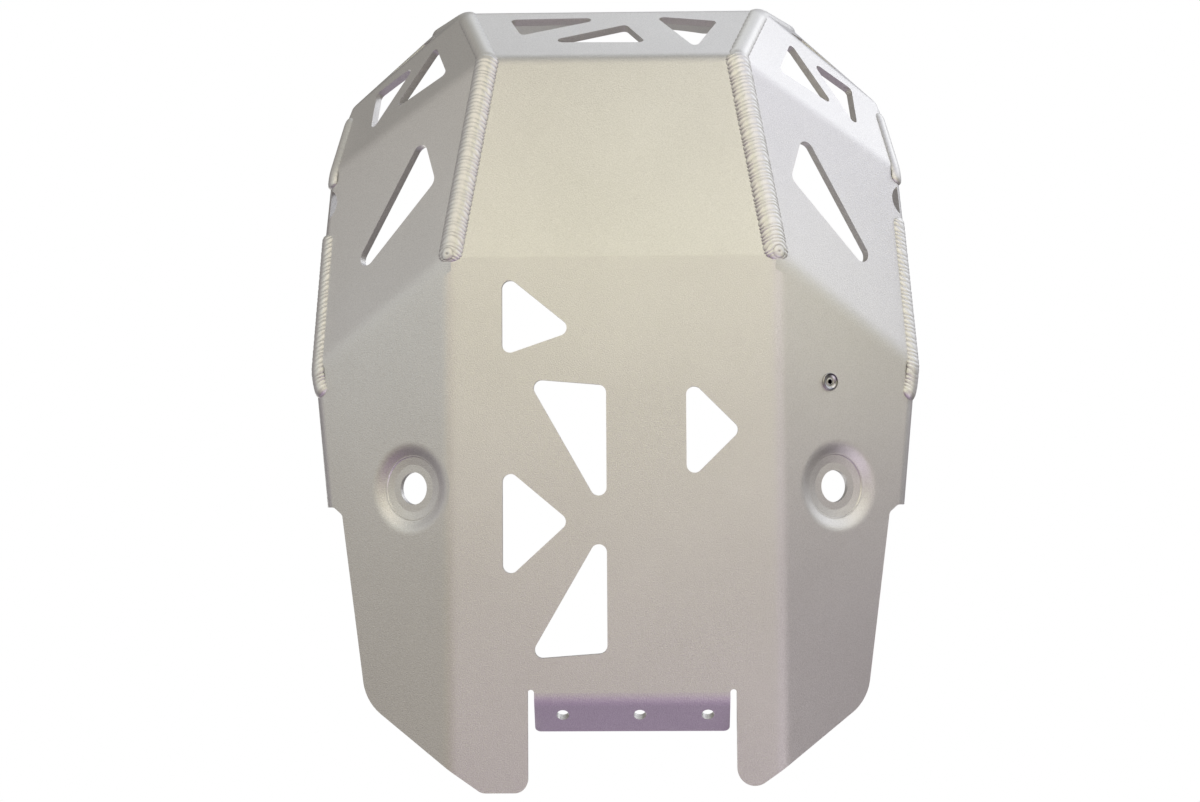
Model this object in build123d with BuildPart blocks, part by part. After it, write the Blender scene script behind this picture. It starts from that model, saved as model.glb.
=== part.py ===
"""Motorcycle skid plate: one folded and welded aluminium sheet with a blind rivet.

Millimetres, +Z up. The flat belly lies on z = 0, the nose points to -Y and the rear tab to +Y.
Stations along the plate are measured rearward from the fold between belly and nose.
"""
import os
from math import cos, radians, sin, tan

from build123d import *

# Sheet and folds
SHEET = 4.0
BEND_OUT = 8.0
NOSE_FOLD_Y = -66.4

# Panels: tilt from the belly, and turn of the slope from sideways toward the nose
BELLY_HALF = 86.0
WING_TILT = 30.0
NOSE_TILT = 9.0
NOSE_LENGTH = 110.0
LIP_TILT = 50.0
LIP_LENGTH = 54.0
FRONT_WING_TILT = 40.0
FRONT_WING_TURN = 20.5
UPPER_WING_TILT = 52.0
UPPER_WING_TURN = 35.5
RIM_WING_TILT = 72.5
RIM_WING_TURN = 48.0
FORE_FLANK_TILT = 111.3
FORE_FLANK_TURN = -2.2
FORE_FLANK_RAISE = 1.0
FLANK_FRONT = (166.6, 53.0)
FLANK_REAR = (159.0, 127.0)

# Rim of the front wall, rim wings and flanks
RIM_HEIGHT = 96.0
RIM_END = -101.0
FLANK_END_HEIGHT = 50.0
ARCH_RADIUS = 87.5
ARCH_HEIGHT = 79.5

# Rear outline, seen from above
FLANK_END = 130.5
STEP_OUT = 151.5
STEP_IN = 146.6
STEP_LENGTH = 4.0
STEP_RADIUS = 3.0
HIP = (132.7, 233.2)
HIP_RADIUS = 24.0
PRONG_SLOPE = 1.436
PRONG_END = 277.4
LEFT_PRONG_RADIUS = 7.0
RIGHT_PRONG_RADIUS = 9.0

# Rear tab and the slots beside it
TAB_LEFT = -42.0
TAB_RIGHT = 59.1
TAB_ROOT = 226.2
TAB_TILT = 35.0
TAB_BEND_OUT = 12.0
TAB_LENGTH = 17.4
TAB_CORNER = 3.0
TAB_SLOT = 3.3
TAB_HOLES = (-27.4, 12.5, 47.7)
TAB_HOLE_DIAMETER = 6.5
TAB_HOLE_REACH = 6.1

# Vents: triangles with rounded corners, in each panel's own axes; the rim wing's in parts of its rise
BELLY_VENTS = (
    ((-58.0, 8.0), (-58.0, 52.0), (-20.0, 39.0)),
    ((-45.0, 64.0), (-4.0, 67.5), (-4.0, 136.5)),
    ((-58.0, 108.5), (-58.0, 170.0), (-23.0, 138.0)),
    ((-4.0, 138.5), (-4.0, 206.0), (-45.0, 209.0)),
    ((37.5, 62.5), (37.5, 119.0), (66.0, 91.0)),
)
BELLY_VENT_CORNER = 4.2
LIP_VENTS = (
    ((-56.5, 44.7), (-49.7, 25.4), (-1.4, 46.0)),
    ((7.4, 37.3), (18.5, 16.0), (-38.3, 17.0)),
    ((23.4, 47.0), (57.6, 40.6), (44.7, 9.2)),
)
LIP_VENT_CORNER = 2.5
FRONT_WING_VENT = ((-10.3, 79.6), (-8.0, 47.4), (82.6, 23.2))
FRONT_WING_VENT_CORNER = 5.2
UPPER_WING_VENTS = (
    ((38.0, 43.0), (29.3, 12.0), (71.0, 15.0)),
    ((53.5, 41.0), (85.0, 41.5), (89.0, 9.6)),
)
UPPER_WING_VENT_CORNER = 2.7
RIM_WING_VENT = ((0.59, 0.13), (0.99, 0.51), (1.76, 0.13))
RIM_WING_VENT_CORNER = 2.0

# Round relief on the seam between front wing and flank
RELIEF_RADIUS = 9.0
RELIEF_FROM_FOLD = 18.5

# Pressed mount seats in the wings: distance up the slope, and station
LEFT_SEAT_REACH = 25.0
RIGHT_SEAT_REACH = 36.7
SEAT_STATION = 120.5
SEAT_HOLE_DIAMETER = 17.0
SEAT_LAND = 2.4
SEAT_MOUTH_RADIUS = 22.6
SEAT_MOUTH_ROUNDING = 6.0
SEAT_SLOPE = 5.6
SEAT_RIM_DEPTH = 2.6
SEAT_STEP = 0.5
SEAT_CONE = 4.5
SEAT_DEPTH = 3.7

# Weld beads
NOSE_BEAD_RADIUS = 6.5
NOSE_BEAD_SINK = 4.8
NOSE_BEAD_OVERRUN = 1.0
LIP_BEAD_RADIUS = 6.2
LIP_BEAD_SINK = 5.4
LIP_BEAD_START = 4.0
LIP_BEAD_CORNER_SINK = 6.6
FLANK_BEAD_RADIUS = 5.8
LOWER_BEAD_RISE = 1.2
LOWER_BEAD_INSET = 0.6
UPPER_BEAD_RISE = 1.4
UPPER_BEAD_INSET = -0.5
RIGHT_BEAD_TAIL = 15.0
LEFT_BEAD_TAIL = 12.0
RIGHT_BEAD_GAP = 13.5
LEFT_BEAD_GAP = 21.5

# Blind rivet in the right wing
RIVET_REACH = 31.6
RIVET_STATION = 65.7
RIVET_BODY_DIAMETER = 4.8
RIVET_HOLE_DIAMETER = 4.9
RIVET_HEAD_DIAMETER = 9.5
RIVET_HEAD_HEIGHT = 1.7
RIVET_TAIL_DIAMETER = 6.4
RIVET_TAIL_LENGTH = 4.0
RIVET_BORE_DIAMETER = 2.6
RIVET_BORE_DEPTH = 2.2


def outward(tilt, turn):
    """Outward normal of a panel on the right side."""
    slope = radians(tilt)
    azimuth = radians(turn)
    return Vector(sin(slope) * cos(azimuth), -sin(slope) * sin(azimuth), -cos(slope))


def mirrored(point, side):
    """The point itself on the right side, its mirror image on the left."""
    return Vector(side * point.X, point.Y, point.Z)


def crossing(first, second, third):
    """Point where three planes meet; each plane is (normal, point on it)."""
    (n1, p1), (n2, p2), (n3, p3) = first, second, third
    top = n2.cross(n3) * n1.dot(p1) + n3.cross(n1) * n2.dot(p2) + n1.cross(n2) * n3.dot(p3)
    return top * (1 / n1.dot(n2.cross(n3)))


def face_plane(normal, origin, toward, side):
    """Sketch plane on a panel's outer face, its x axis pointing from origin to another point."""
    along = mirrored(toward - origin, side)
    return Plane(origin=mirrored(origin, side), x_dir=along, z_dir=mirrored(normal, side) * side)


# Corners where the theoretical outer faces meet, right side
UP = Vector(0, 0, 1)
ACROSS = Vector(1, 0, 0)
WING_NORMAL = outward(WING_TILT, 0)
NOSE_NORMAL = outward(NOSE_TILT, 90)
LIP_NORMAL = outward(LIP_TILT, 90)
FRONT_NORMAL = outward(90, 90)
FRONT_WING_NORMAL = outward(FRONT_WING_TILT, FRONT_WING_TURN)
UPPER_WING_NORMAL = outward(UPPER_WING_TILT, UPPER_WING_TURN)
RIM_WING_NORMAL = outward(RIM_WING_TILT, RIM_WING_TURN)

NOSE_FOLD = Vector(0, NOSE_FOLD_Y, 0)
LIP_FOLD = NOSE_FOLD + Vector(0, -cos(radians(NOSE_TILT)), sin(radians(NOSE_TILT))) * NOSE_LENGTH
FRONT_FOLD = LIP_FOLD + Vector(0, -cos(radians(LIP_TILT)), sin(radians(LIP_TILT))) * LIP_LENGTH
BELLY_CORNER = Vector(BELLY_HALF, NOSE_FOLD_Y, 0)
LIP_CORNER = crossing((NOSE_NORMAL, NOSE_FOLD), (LIP_NORMAL, LIP_FOLD), (FRONT_WING_NORMAL, BELLY_CORNER))
FRONT_CORNER = crossing((LIP_NORMAL, LIP_FOLD), (FRONT_NORMAL, FRONT_FOLD), (UPPER_WING_NORMAL, LIP_CORNER))

WING_RISE = tan(radians(WING_TILT))
FLANK_A = Vector(FLANK_FRONT[0], NOSE_FOLD_Y + FLANK_FRONT[1], (FLANK_FRONT[0] - BELLY_HALF) * WING_RISE)
FLANK_B = Vector(FLANK_REAR[0], NOSE_FOLD_Y + FLANK_REAR[1], (FLANK_REAR[0] - BELLY_HALF) * WING_RISE)
FLANK_NORMAL = WING_NORMAL.cross(FLANK_B - FLANK_A).normalized()
RIM_TOP = (UP, UP * RIM_HEIGHT)
RIM_RISE = RIM_HEIGHT - FRONT_CORNER.Z

WING = (WING_NORMAL, BELLY_CORNER)
FRONT_WING = (FRONT_WING_NORMAL, BELLY_CORNER)
UPPER_WING = (UPPER_WING_NORMAL, LIP_CORNER)
RIM_WING = (RIM_WING_NORMAL, FRONT_CORNER)
FLANK = (FLANK_NORMAL, FLANK_A)
HIP_CORNER = crossing(WING, FRONT_WING, FLANK)
FORE_NORMAL = outward(FORE_FLANK_TILT, FORE_FLANK_TURN)
FORE_FLANK = (FORE_NORMAL, HIP_CORNER + FORE_NORMAL * FORE_FLANK_RAISE)
SHOULDER = crossing(FRONT_WING, UPPER_WING, FORE_FLANK)
TOP_SHOULDER = crossing(UPPER_WING, RIM_WING, FORE_FLANK)
RIM_CORNER = crossing((FRONT_NORMAL, FRONT_FOLD), RIM_WING, RIM_TOP)
RIM_SEAM = crossing(UPPER_WING, FORE_FLANK, RIM_TOP)
SEAM = (HIP_CORNER - SHOULDER).normalized()
RELIEF = SHOULDER + SEAM * RELIEF_FROM_FOLD

RIGHT_AND_LEFT = (1, -1)
STATIONS = Plane(origin=NOSE_FOLD)

# Convex core of the pan: every panel's outer face moved inward by the outer bend radius
with BuildPart() as core:
    Box(600, 800, 500)
    inner_faces = [Plane(origin=(0, 0, 0), z_dir=UP)]
    for normal, spot in ((NOSE_NORMAL, NOSE_FOLD), (LIP_NORMAL, LIP_FOLD), (FRONT_NORMAL, FRONT_FOLD)):
        inner_faces.append(Plane(origin=spot, x_dir=ACROSS, z_dir=normal * -1))
    for side in RIGHT_AND_LEFT:
        for normal, spot in (WING, FRONT_WING, UPPER_WING, RIM_WING, FLANK, FORE_FLANK):
            inner_faces.append(Plane(origin=mirrored(spot, side), z_dir=mirrored(normal, side) * -1))
    for inner_face in inner_faces:
        split(bisect_by=inner_face.offset(BEND_OUT), keep=Keep.TOP)

# Outer and inner skins: the core grown with round edges, so all folds keep the sheet's thickness
with BuildPart() as outer_skin:
    add(core.part)
    offset(amount=BEND_OUT, kind=Kind.ARC, mode=Mode.REPLACE)

with BuildPart() as inner_skin:
    add(core.part)
    offset(amount=BEND_OUT - SHEET, kind=Kind.ARC, mode=Mode.REPLACE)

# Side view of everything above the rim, and of everything above the wings behind the flanks
wing_top = (STEP_IN - BELLY_HALF) * WING_RISE + 2 * SHEET
with BuildPart() as above_rim:
    with BuildSketch(Plane(origin=NOSE_FOLD, x_dir=(0, 1, 0), z_dir=ACROSS)):
        Polygon(
            (-400, RIM_HEIGHT),
            (RIM_END, RIM_HEIGHT),
            (FLANK_END, FLANK_END_HEIGHT),
            (FLANK_END, wing_top),
            (600, wing_top),
            (600, 500),
            (-400, 500),
            align=None,
        )
    extrude(amount=400, both=True)

# Rear outline seen from above: a wide block less the plate's own shape
with BuildPart() as behind_outline:
    with BuildSketch(STATIONS) as rear_outline:
        with Locations((0, FLANK_END + 200)):
            Rectangle(800, 400)
        with BuildLine():
            right_tip = HIP[1] + (HIP[0] - TAB_RIGHT - TAB_SLOT) / PRONG_SLOPE
            left_shoulder = HIP[0] - PRONG_SLOPE * (PRONG_END - HIP[1])
            Polyline(
                (STEP_OUT, FLANK_END),
                (STEP_IN, FLANK_END + STEP_LENGTH),
                HIP,
                (TAB_RIGHT + TAB_SLOT, right_tip),
                (TAB_RIGHT + TAB_SLOT, TAB_ROOT),
                (TAB_LEFT - TAB_SLOT, TAB_ROOT),
                (TAB_LEFT - TAB_SLOT, PRONG_END),
                (-left_shoulder, PRONG_END),
                (-HIP[0], HIP[1]),
                (-STEP_IN, FLANK_END + STEP_LENGTH),
                (-STEP_OUT, FLANK_END),
                close=True,
            )
        make_face(mode=Mode.SUBTRACT)
        step_band = (FLANK_END - 1, FLANK_END + STEP_LENGTH + 1)
        steps = rear_outline.vertices().filter_by_position(Axis.Y, *step_band)
        fillet([v for v in steps if abs(v.X) < STEP_OUT + 1], STEP_RADIUS)
        hips = rear_outline.vertices().filter_by_position(Axis.Y, HIP[1] - 0.01, HIP[1] + 0.01)
        fillet(hips, HIP_RADIUS)
        for corner_x, corner_y, corner_radius in (
            (TAB_RIGHT + TAB_SLOT, right_tip, RIGHT_PRONG_RADIUS),
            (TAB_LEFT - TAB_SLOT, PRONG_END, LEFT_PRONG_RADIUS),
            (-left_shoulder, PRONG_END, LEFT_PRONG_RADIUS),
        ):
            corner = rear_outline.vertices().sort_by_distance((corner_x, corner_y, 0))[0]
            fillet(corner, corner_radius)
    extrude(amount=300, both=True)

# Rear tab: side profile of the bent strip, as wide as the tab
with BuildPart() as rear_tab:
    with BuildSketch(Plane(origin=NOSE_FOLD + ACROSS * TAB_LEFT, x_dir=(0, 1, 0), z_dir=ACROSS)):
        bend_centre = (TAB_ROOT, TAB_BEND_OUT)
        tab_way = (cos(radians(TAB_TILT)), sin(radians(TAB_TILT)))
        bend_out = (TAB_ROOT + TAB_BEND_OUT * tab_way[1], TAB_BEND_OUT * (1 - tab_way[0]))
        bend_in = (bend_out[0] - SHEET * tab_way[1], bend_out[1] + SHEET * tab_way[0])
        tip_out = (bend_out[0] + TAB_LENGTH * tab_way[0], bend_out[1] + TAB_LENGTH * tab_way[1])
        tip_in = (bend_in[0] + TAB_LENGTH * tab_way[0], bend_in[1] + TAB_LENGTH * tab_way[1])
        with BuildLine():
            CenterArc(bend_centre, TAB_BEND_OUT, -90, TAB_TILT)
            Line(bend_out, tip_out)
            Line(tip_out, tip_in)
            Line(tip_in, bend_in)
            CenterArc(bend_centre, TAB_BEND_OUT - SHEET, -90, TAB_TILT)
            Line((TAB_ROOT, SHEET), (TAB_ROOT - 1, SHEET))
            Line((TAB_ROOT - 1, SHEET), (TAB_ROOT - 1, 0))
            Line((TAB_ROOT - 1, 0), (TAB_ROOT, 0))
        make_face()
    extrude(amount=TAB_RIGHT - TAB_LEFT)
    tab_face = Plane(
        origin=NOSE_FOLD + Vector(0, bend_out[0], bend_out[1]),
        x_dir=ACROSS,
        z_dir=Vector(0, -tab_way[1], tab_way[0]),
    )
    short_edges = rear_tab.edges().filter_by(lambda e: abs(e.length - SHEET) < 0.01)
    fillet(short_edges.filter_by(lambda e: e.center().Z > SHEET + 1), TAB_CORNER)
    with BuildSketch(tab_face):
        with Locations([(x, TAB_HOLE_REACH) for x in TAB_HOLES]):
            Circle(TAB_HOLE_DIAMETER / 2)
    extrude(amount=3 * SHEET, both=True, mode=Mode.SUBTRACT)


def seat_plane(side, reach, station):
    """Plane on the wing's outer face, z pointing up into the pan."""
    slope = radians(WING_TILT)
    spot = BELLY_CORNER + Vector(cos(slope) * reach, station, sin(slope) * reach)
    return Plane(origin=mirrored(spot, side), x_dir=(0, 1, 0), z_dir=mirrored(WING_NORMAL, side) * -1)


SEATS = (seat_plane(1, RIGHT_SEAT_REACH, SEAT_STATION), seat_plane(-1, LEFT_SEAT_REACH, SEAT_STATION))
RIVET_PLACE = seat_plane(1, RIVET_REACH, RIVET_STATION)
SEAT_BLANK_RADIUS = SEAT_MOUTH_RADIUS + SEAT_MOUTH_ROUNDING / 4
SEAT_RIM_RADIUS = SEAT_MOUTH_RADIUS - SEAT_SLOPE
SEAT_FLAT_RADIUS = SEAT_RIM_RADIUS - SEAT_CONE

# Pressed seat: dished ring turned about the mount hole, z up into the pan
with BuildPart() as pressed_seat:
    with BuildSketch(Plane.XZ) as seat_section:
        with BuildLine():
            Polyline(
                (SEAT_HOLE_DIAMETER / 2, SEAT_DEPTH),
                (SEAT_FLAT_RADIUS, SEAT_DEPTH),
                (SEAT_RIM_RADIUS - SEAT_STEP, SEAT_RIM_DEPTH + SEAT_STEP),
                (SEAT_RIM_RADIUS, SEAT_RIM_DEPTH),
                (SEAT_MOUTH_RADIUS, 0),
                (SEAT_BLANK_RADIUS, 0),
                (SEAT_BLANK_RADIUS, SHEET),
                (SEAT_MOUTH_RADIUS + SEAT_STEP, SHEET),
                (SEAT_RIM_RADIUS + SEAT_STEP, SEAT_RIM_DEPTH + SHEET),
                (SEAT_FLAT_RADIUS + SEAT_STEP, SEAT_DEPTH + SHEET),
                (SEAT_HOLE_DIAMETER / 2, SEAT_DEPTH + SEAT_LAND),
                close=True,
            )
        make_face()
        mouth = Plane.XZ.from_local_coords((SEAT_MOUTH_RADIUS, 0, 0))
        fillet(seat_section.vertices().sort_by_distance(mouth)[0], SEAT_MOUTH_ROUNDING)
    revolve(axis=Axis.Z)

# Round reliefs in the front wings, stopping at the inside of the flanks
reliefs = {}
for side in RIGHT_AND_LEFT:
    with BuildPart() as relief:
        with BuildSketch(Plane(origin=mirrored(RELIEF, side), z_dir=mirrored(FRONT_WING_NORMAL, side))):
            Circle(RELIEF_RADIUS)
        extrude(amount=2 * BEND_OUT, both=True)
        inside = Plane(origin=mirrored(FORE_FLANK[1], side), z_dir=mirrored(FORE_NORMAL, side) * -1)
        split(bisect_by=inside.offset(SHEET), keep=Keep.TOP)
    reliefs[side] = relief.part

# The folded sheet
with BuildPart() as skid_plate:
    add(outer_skin.part)
    add(inner_skin.part, mode=Mode.SUBTRACT)
    add(above_rim.part, mode=Mode.SUBTRACT)
    add(behind_outline.part, mode=Mode.SUBTRACT)
    add(rear_tab.part)
    with BuildSketch(STATIONS):
        with Locations((TAB_RIGHT + TAB_SLOT / 2, TAB_ROOT), (TAB_LEFT - TAB_SLOT / 2, TAB_ROOT)):
            Circle(TAB_SLOT / 2)
    extrude(amount=2 * SHEET, both=True, mode=Mode.SUBTRACT)
    with BuildSketch(Plane(origin=FRONT_FOLD, x_dir=ACROSS, z_dir=FRONT_NORMAL * -1)):
        with Locations((0, FRONT_FOLD.Z - ARCH_HEIGHT - ARCH_RADIUS)):
            Circle(ARCH_RADIUS)
    extrude(amount=3 * SHEET, both=True, mode=Mode.SUBTRACT)
    for corners in BELLY_VENTS:
        with BuildSketch(STATIONS) as vent:
            Polygon(*corners, align=None)
            fillet(vent.vertices(), BELLY_VENT_CORNER)
        extrude(amount=2 * SHEET, both=True, mode=Mode.SUBTRACT)
    for corners in LIP_VENTS:
        with BuildSketch(Plane(origin=LIP_FOLD, x_dir=ACROSS, z_dir=LIP_NORMAL)) as vent:
            Polygon(*corners, align=None)
            fillet(vent.vertices(), LIP_VENT_CORNER)
        extrude(amount=2 * SHEET, both=True, mode=Mode.SUBTRACT)
    for side in RIGHT_AND_LEFT:
        with BuildSketch(face_plane(FRONT_WING_NORMAL, BELLY_CORNER, HIP_CORNER, side)) as vent:
            Polygon(*FRONT_WING_VENT, align=None)
            fillet(vent.vertices(), FRONT_WING_VENT_CORNER)
        extrude(amount=2 * SHEET, both=True, mode=Mode.SUBTRACT)
        for corners in UPPER_WING_VENTS:
            with BuildSketch(face_plane(UPPER_WING_NORMAL, LIP_CORNER, SHOULDER, side)) as vent:
                Polygon(*corners, align=None)
                fillet(vent.vertices(), UPPER_WING_VENT_CORNER)
            extrude(amount=2 * SHEET, both=True, mode=Mode.SUBTRACT)
        with BuildSketch(face_plane(RIM_WING_NORMAL, FRONT_CORNER, TOP_SHOULDER, side)) as vent:
            Polygon(*[(u * RIM_RISE, v * RIM_RISE) for u, v in RIM_WING_VENT], align=None)
            fillet(vent.vertices(), RIM_WING_VENT_CORNER)
        extrude(amount=2 * SHEET, both=True, mode=Mode.SUBTRACT)
        add(reliefs[side], mode=Mode.SUBTRACT)
    for seat in SEATS:
        with BuildSketch(seat):
            Circle(SEAT_BLANK_RADIUS)
        extrude(amount=SHEET + 1, both=True, mode=Mode.SUBTRACT)
        add(seat.location * pressed_seat.part)
    with BuildSketch(RIVET_PLACE):
        Circle(RIVET_HOLE_DIAMETER / 2)
    extrude(amount=2 * SHEET, both=True, mode=Mode.SUBTRACT)


def bead_rod(points, radius):
    """Round rod with ball ends that follows a row of points."""
    with BuildPart() as rod:
        for start, end in zip(points, points[1:]):
            with Locations(Plane(origin=(start + end) * 0.5, z_dir=end - start)):
                Cylinder(radius, (end - start).length)
        with Locations(*points):
            Sphere(radius)
    return rod.part


def sunk(point, depth, *normals):
    """The seam point moved into the corner between the panels with these normals."""
    return point - sum(normals, Vector(0, 0, 0)).normalized() * depth


def laid(point, rise, inset, wing, flank):
    """The seam point moved in until a flank bead stands proud of the wing and inside the flank's face."""
    lean = wing.dot(flank)
    below = FLANK_BEAD_RADIUS - rise
    inside = FLANK_BEAD_RADIUS + inset
    shift = wing * (below - lean * inside) + flank * (inside - lean * below)
    return point - shift * (1 / (1 - lean * lean))


NOSE_SINK = (NOSE_BEAD_SINK, NOSE_NORMAL, FRONT_WING_NORMAL)
LIP_SINK = (LIP_BEAD_SINK, LIP_NORMAL, UPPER_WING_NORMAL)
CORNER_SINK = (LIP_BEAD_CORNER_SINK, LIP_NORMAL, FRONT_NORMAL, UPPER_WING_NORMAL, RIM_WING_NORMAL)
RIM_SINK = (LIP_BEAD_SINK, FRONT_NORMAL, RIM_WING_NORMAL)
SEAM_LAY = (LOWER_BEAD_RISE, LOWER_BEAD_INSET, FRONT_WING_NORMAL, FORE_NORMAL)
TAIL_LAY = (LOWER_BEAD_RISE, LOWER_BEAD_INSET, WING_NORMAL, FLANK_NORMAL)
RELIEF_LAY = (UPPER_BEAD_RISE, UPPER_BEAD_INSET, FRONT_WING_NORMAL, FORE_NORMAL)
UPPER_LAY = (UPPER_BEAD_RISE, UPPER_BEAD_INSET, UPPER_WING_NORMAL, FORE_NORMAL)
NOSE_SEAM = (LIP_CORNER - BELLY_CORNER).normalized()
LIP_SEAM = (FRONT_CORNER - LIP_CORNER).normalized()
TAIL_WAY = (FLANK_B - FLANK_A).normalized()

nose_path = (
    sunk(BELLY_CORNER + NOSE_SEAM * NOSE_BEAD_OVERRUN, *NOSE_SINK),
    sunk(LIP_CORNER, *NOSE_SINK),
)
lip_path = (
    sunk(LIP_CORNER + LIP_SEAM * LIP_BEAD_START, *LIP_SINK),
    sunk(FRONT_CORNER, *CORNER_SINK),
    sunk(RIM_CORNER, *RIM_SINK),
)
ground = Pos(0, 0, -50) * Box(800, 800, 100)

beads = {}
UPPER_BEAD_START = RELIEF - SEAM * (RELIEF_RADIUS + FLANK_BEAD_RADIUS)
upper_path = (laid(UPPER_BEAD_START, *RELIEF_LAY), laid(SHOULDER, *UPPER_LAY), laid(RIM_SEAM, *UPPER_LAY))
for side, name, gap, tail in (
    (1, "right", RIGHT_BEAD_GAP, RIGHT_BEAD_TAIL),
    (-1, "left", LEFT_BEAD_GAP, LEFT_BEAD_TAIL),
):
    lower_path = (
        laid(RELIEF + SEAM * gap, *SEAM_LAY),
        laid(HIP_CORNER, *SEAM_LAY),
        laid(HIP_CORNER + TAIL_WAY * tail, *TAIL_LAY),
    )
    nose_rod = bead_rod([mirrored(p, side) for p in nose_path], NOSE_BEAD_RADIUS)
    lip_rod = bead_rod([mirrored(p, side) for p in lip_path], LIP_BEAD_RADIUS)
    lower_rod = bead_rod([mirrored(p, side) for p in lower_path], FLANK_BEAD_RADIUS)
    upper_rod = bead_rod([mirrored(p, side) for p in upper_path], FLANK_BEAD_RADIUS)
    with BuildPart() as nose_weld:
        add(nose_rod)
        add(outer_skin.part, mode=Mode.SUBTRACT)
        add(ground, mode=Mode.SUBTRACT)
    with BuildPart() as lip_weld:
        add(lip_rod)
        add(outer_skin.part, mode=Mode.SUBTRACT)
        add(nose_rod, mode=Mode.SUBTRACT)
        add(above_rim.part, mode=Mode.SUBTRACT)
    with BuildPart() as lower_flank_weld:
        add(lower_rod)
        add(outer_skin.part, mode=Mode.SUBTRACT)
    with BuildPart() as upper_flank_weld:
        add(upper_rod)
        add(outer_skin.part, mode=Mode.SUBTRACT)
        add(above_rim.part, mode=Mode.SUBTRACT)
    beads["nose_weld_" + name] = nose_weld.part
    beads["lip_weld_" + name] = lip_weld.part
    beads["lower_flank_weld_" + name] = lower_flank_weld.part
    beads["upper_flank_weld_" + name] = upper_flank_weld.part

# Blind rivet: flat-topped round head outside, body through the wing, swollen tail inside
with BuildPart() as rivet_form:
    with BuildSketch(Plane.XZ) as rivet_section:
        Polygon(
            (0, RIVET_BORE_DEPTH - RIVET_HEAD_HEIGHT),
            (RIVET_BORE_DIAMETER / 2, RIVET_BORE_DEPTH - RIVET_HEAD_HEIGHT),
            (RIVET_BORE_DIAMETER / 2, -RIVET_HEAD_HEIGHT),
            (0.32 * RIVET_HEAD_DIAMETER, -0.94 * RIVET_HEAD_HEIGHT),
            (0.44 * RIVET_HEAD_DIAMETER, -0.6 * RIVET_HEAD_HEIGHT),
            (RIVET_HEAD_DIAMETER / 2, -0.1 * RIVET_HEAD_HEIGHT),
            (RIVET_HEAD_DIAMETER / 2, 0),
            (RIVET_BODY_DIAMETER / 2, 0),
            (RIVET_BODY_DIAMETER / 2, SHEET),
            (RIVET_TAIL_DIAMETER / 2, SHEET),
            (RIVET_TAIL_DIAMETER / 2, SHEET + 0.6 * RIVET_TAIL_LENGTH),
            (0.3 * RIVET_TAIL_DIAMETER, SHEET + RIVET_TAIL_LENGTH),
            (0, SHEET + RIVET_TAIL_LENGTH),
            align=None,
        )
    revolve(axis=Axis.Z)

with BuildPart() as blind_rivet:
    add(RIVET_PLACE.location * rivet_form.part)

os.makedirs("parts", exist_ok=True)
skid_plate.part.label = "skid_plate"
export_step(skid_plate.part, "parts/skid_plate.step")
for name, bead in beads.items():
    bead.label = name
    export_step(bead, "parts/" + name + ".step")
blind_rivet.part.label = "blind_rivet"
export_step(blind_rivet.part, "parts/blind_rivet.step")
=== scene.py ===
import bpy
import numpy as np
from mathutils import Matrix, Vector


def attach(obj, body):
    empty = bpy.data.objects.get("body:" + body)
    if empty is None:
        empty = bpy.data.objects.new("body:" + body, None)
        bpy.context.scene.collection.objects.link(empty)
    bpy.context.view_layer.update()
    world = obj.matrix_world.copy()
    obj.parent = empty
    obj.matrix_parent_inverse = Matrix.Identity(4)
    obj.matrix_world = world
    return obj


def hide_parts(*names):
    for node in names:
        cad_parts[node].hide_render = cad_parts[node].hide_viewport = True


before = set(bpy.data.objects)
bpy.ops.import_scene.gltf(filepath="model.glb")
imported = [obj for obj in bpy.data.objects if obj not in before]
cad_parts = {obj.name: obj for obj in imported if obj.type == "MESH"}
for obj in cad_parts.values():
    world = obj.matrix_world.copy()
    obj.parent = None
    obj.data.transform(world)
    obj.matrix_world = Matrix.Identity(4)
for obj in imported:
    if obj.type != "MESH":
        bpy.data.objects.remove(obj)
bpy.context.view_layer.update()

# The skid plate: one 4 mm aluminium sheet, laser cut, folded to a pan and bead blasted all over.
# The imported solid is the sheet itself, so it stays and gets the blasted finish.
# Blasting leaves a fine even pebble of about half a millimetre, with faint clouds from the nozzle's passes.
MM = 0.001
SHEET_COLOUR = (0.83, 0.815, 0.775, 1.0)
SHEET_SHADE = (0.67, 0.655, 0.615, 1.0)
SHEET_ROUGHNESS = (0.36, 0.44)
SHEET_PEBBLE_SCALE = 1500.0
SHEET_PEBBLE_DEPTH = 0.0002
FINE_PEBBLE_RATIO = 2.3
FINE_PEBBLE_SHARE = 0.4
PEBBLE_TONE_SPAN = (0.32, 0.68)
GRAIN_SPAN = (0.3, 0.7)
CLOUD_SCALE = 14.0
CLOUD_TINT = (-0.12, 0.12)
MIX_SOCKETS = {"FLOAT": (2, 3, 0), "VECTOR": (4, 5, 1), "RGBA": (6, 7, 2)}


def feed(tree, target, value):
    """Joins a socket to a node's input, or sets the input to a plain value."""
    if isinstance(value, bpy.types.NodeSocket):
        tree.links.new(value, target)
    else:
        target.default_value = value


def number(tree, operation, *values):
    """Result of a number node that is fed with sockets or plain values."""
    node = tree.nodes.new("ShaderNodeMath")
    node.operation = operation
    for target, value in zip(node.inputs, values):
        feed(tree, target, value)
    return node.outputs["Value"]


def vector(tree, operation, *values):
    """Result of a vector node that is fed with sockets or plain values."""
    node = tree.nodes.new("ShaderNodeVectorMath")
    node.operation = operation
    for target, value in zip(node.inputs, values):
        feed(tree, target, value)
    return node.outputs["Value" if operation in ("DOT_PRODUCT", "LENGTH") else "Vector"]


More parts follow.
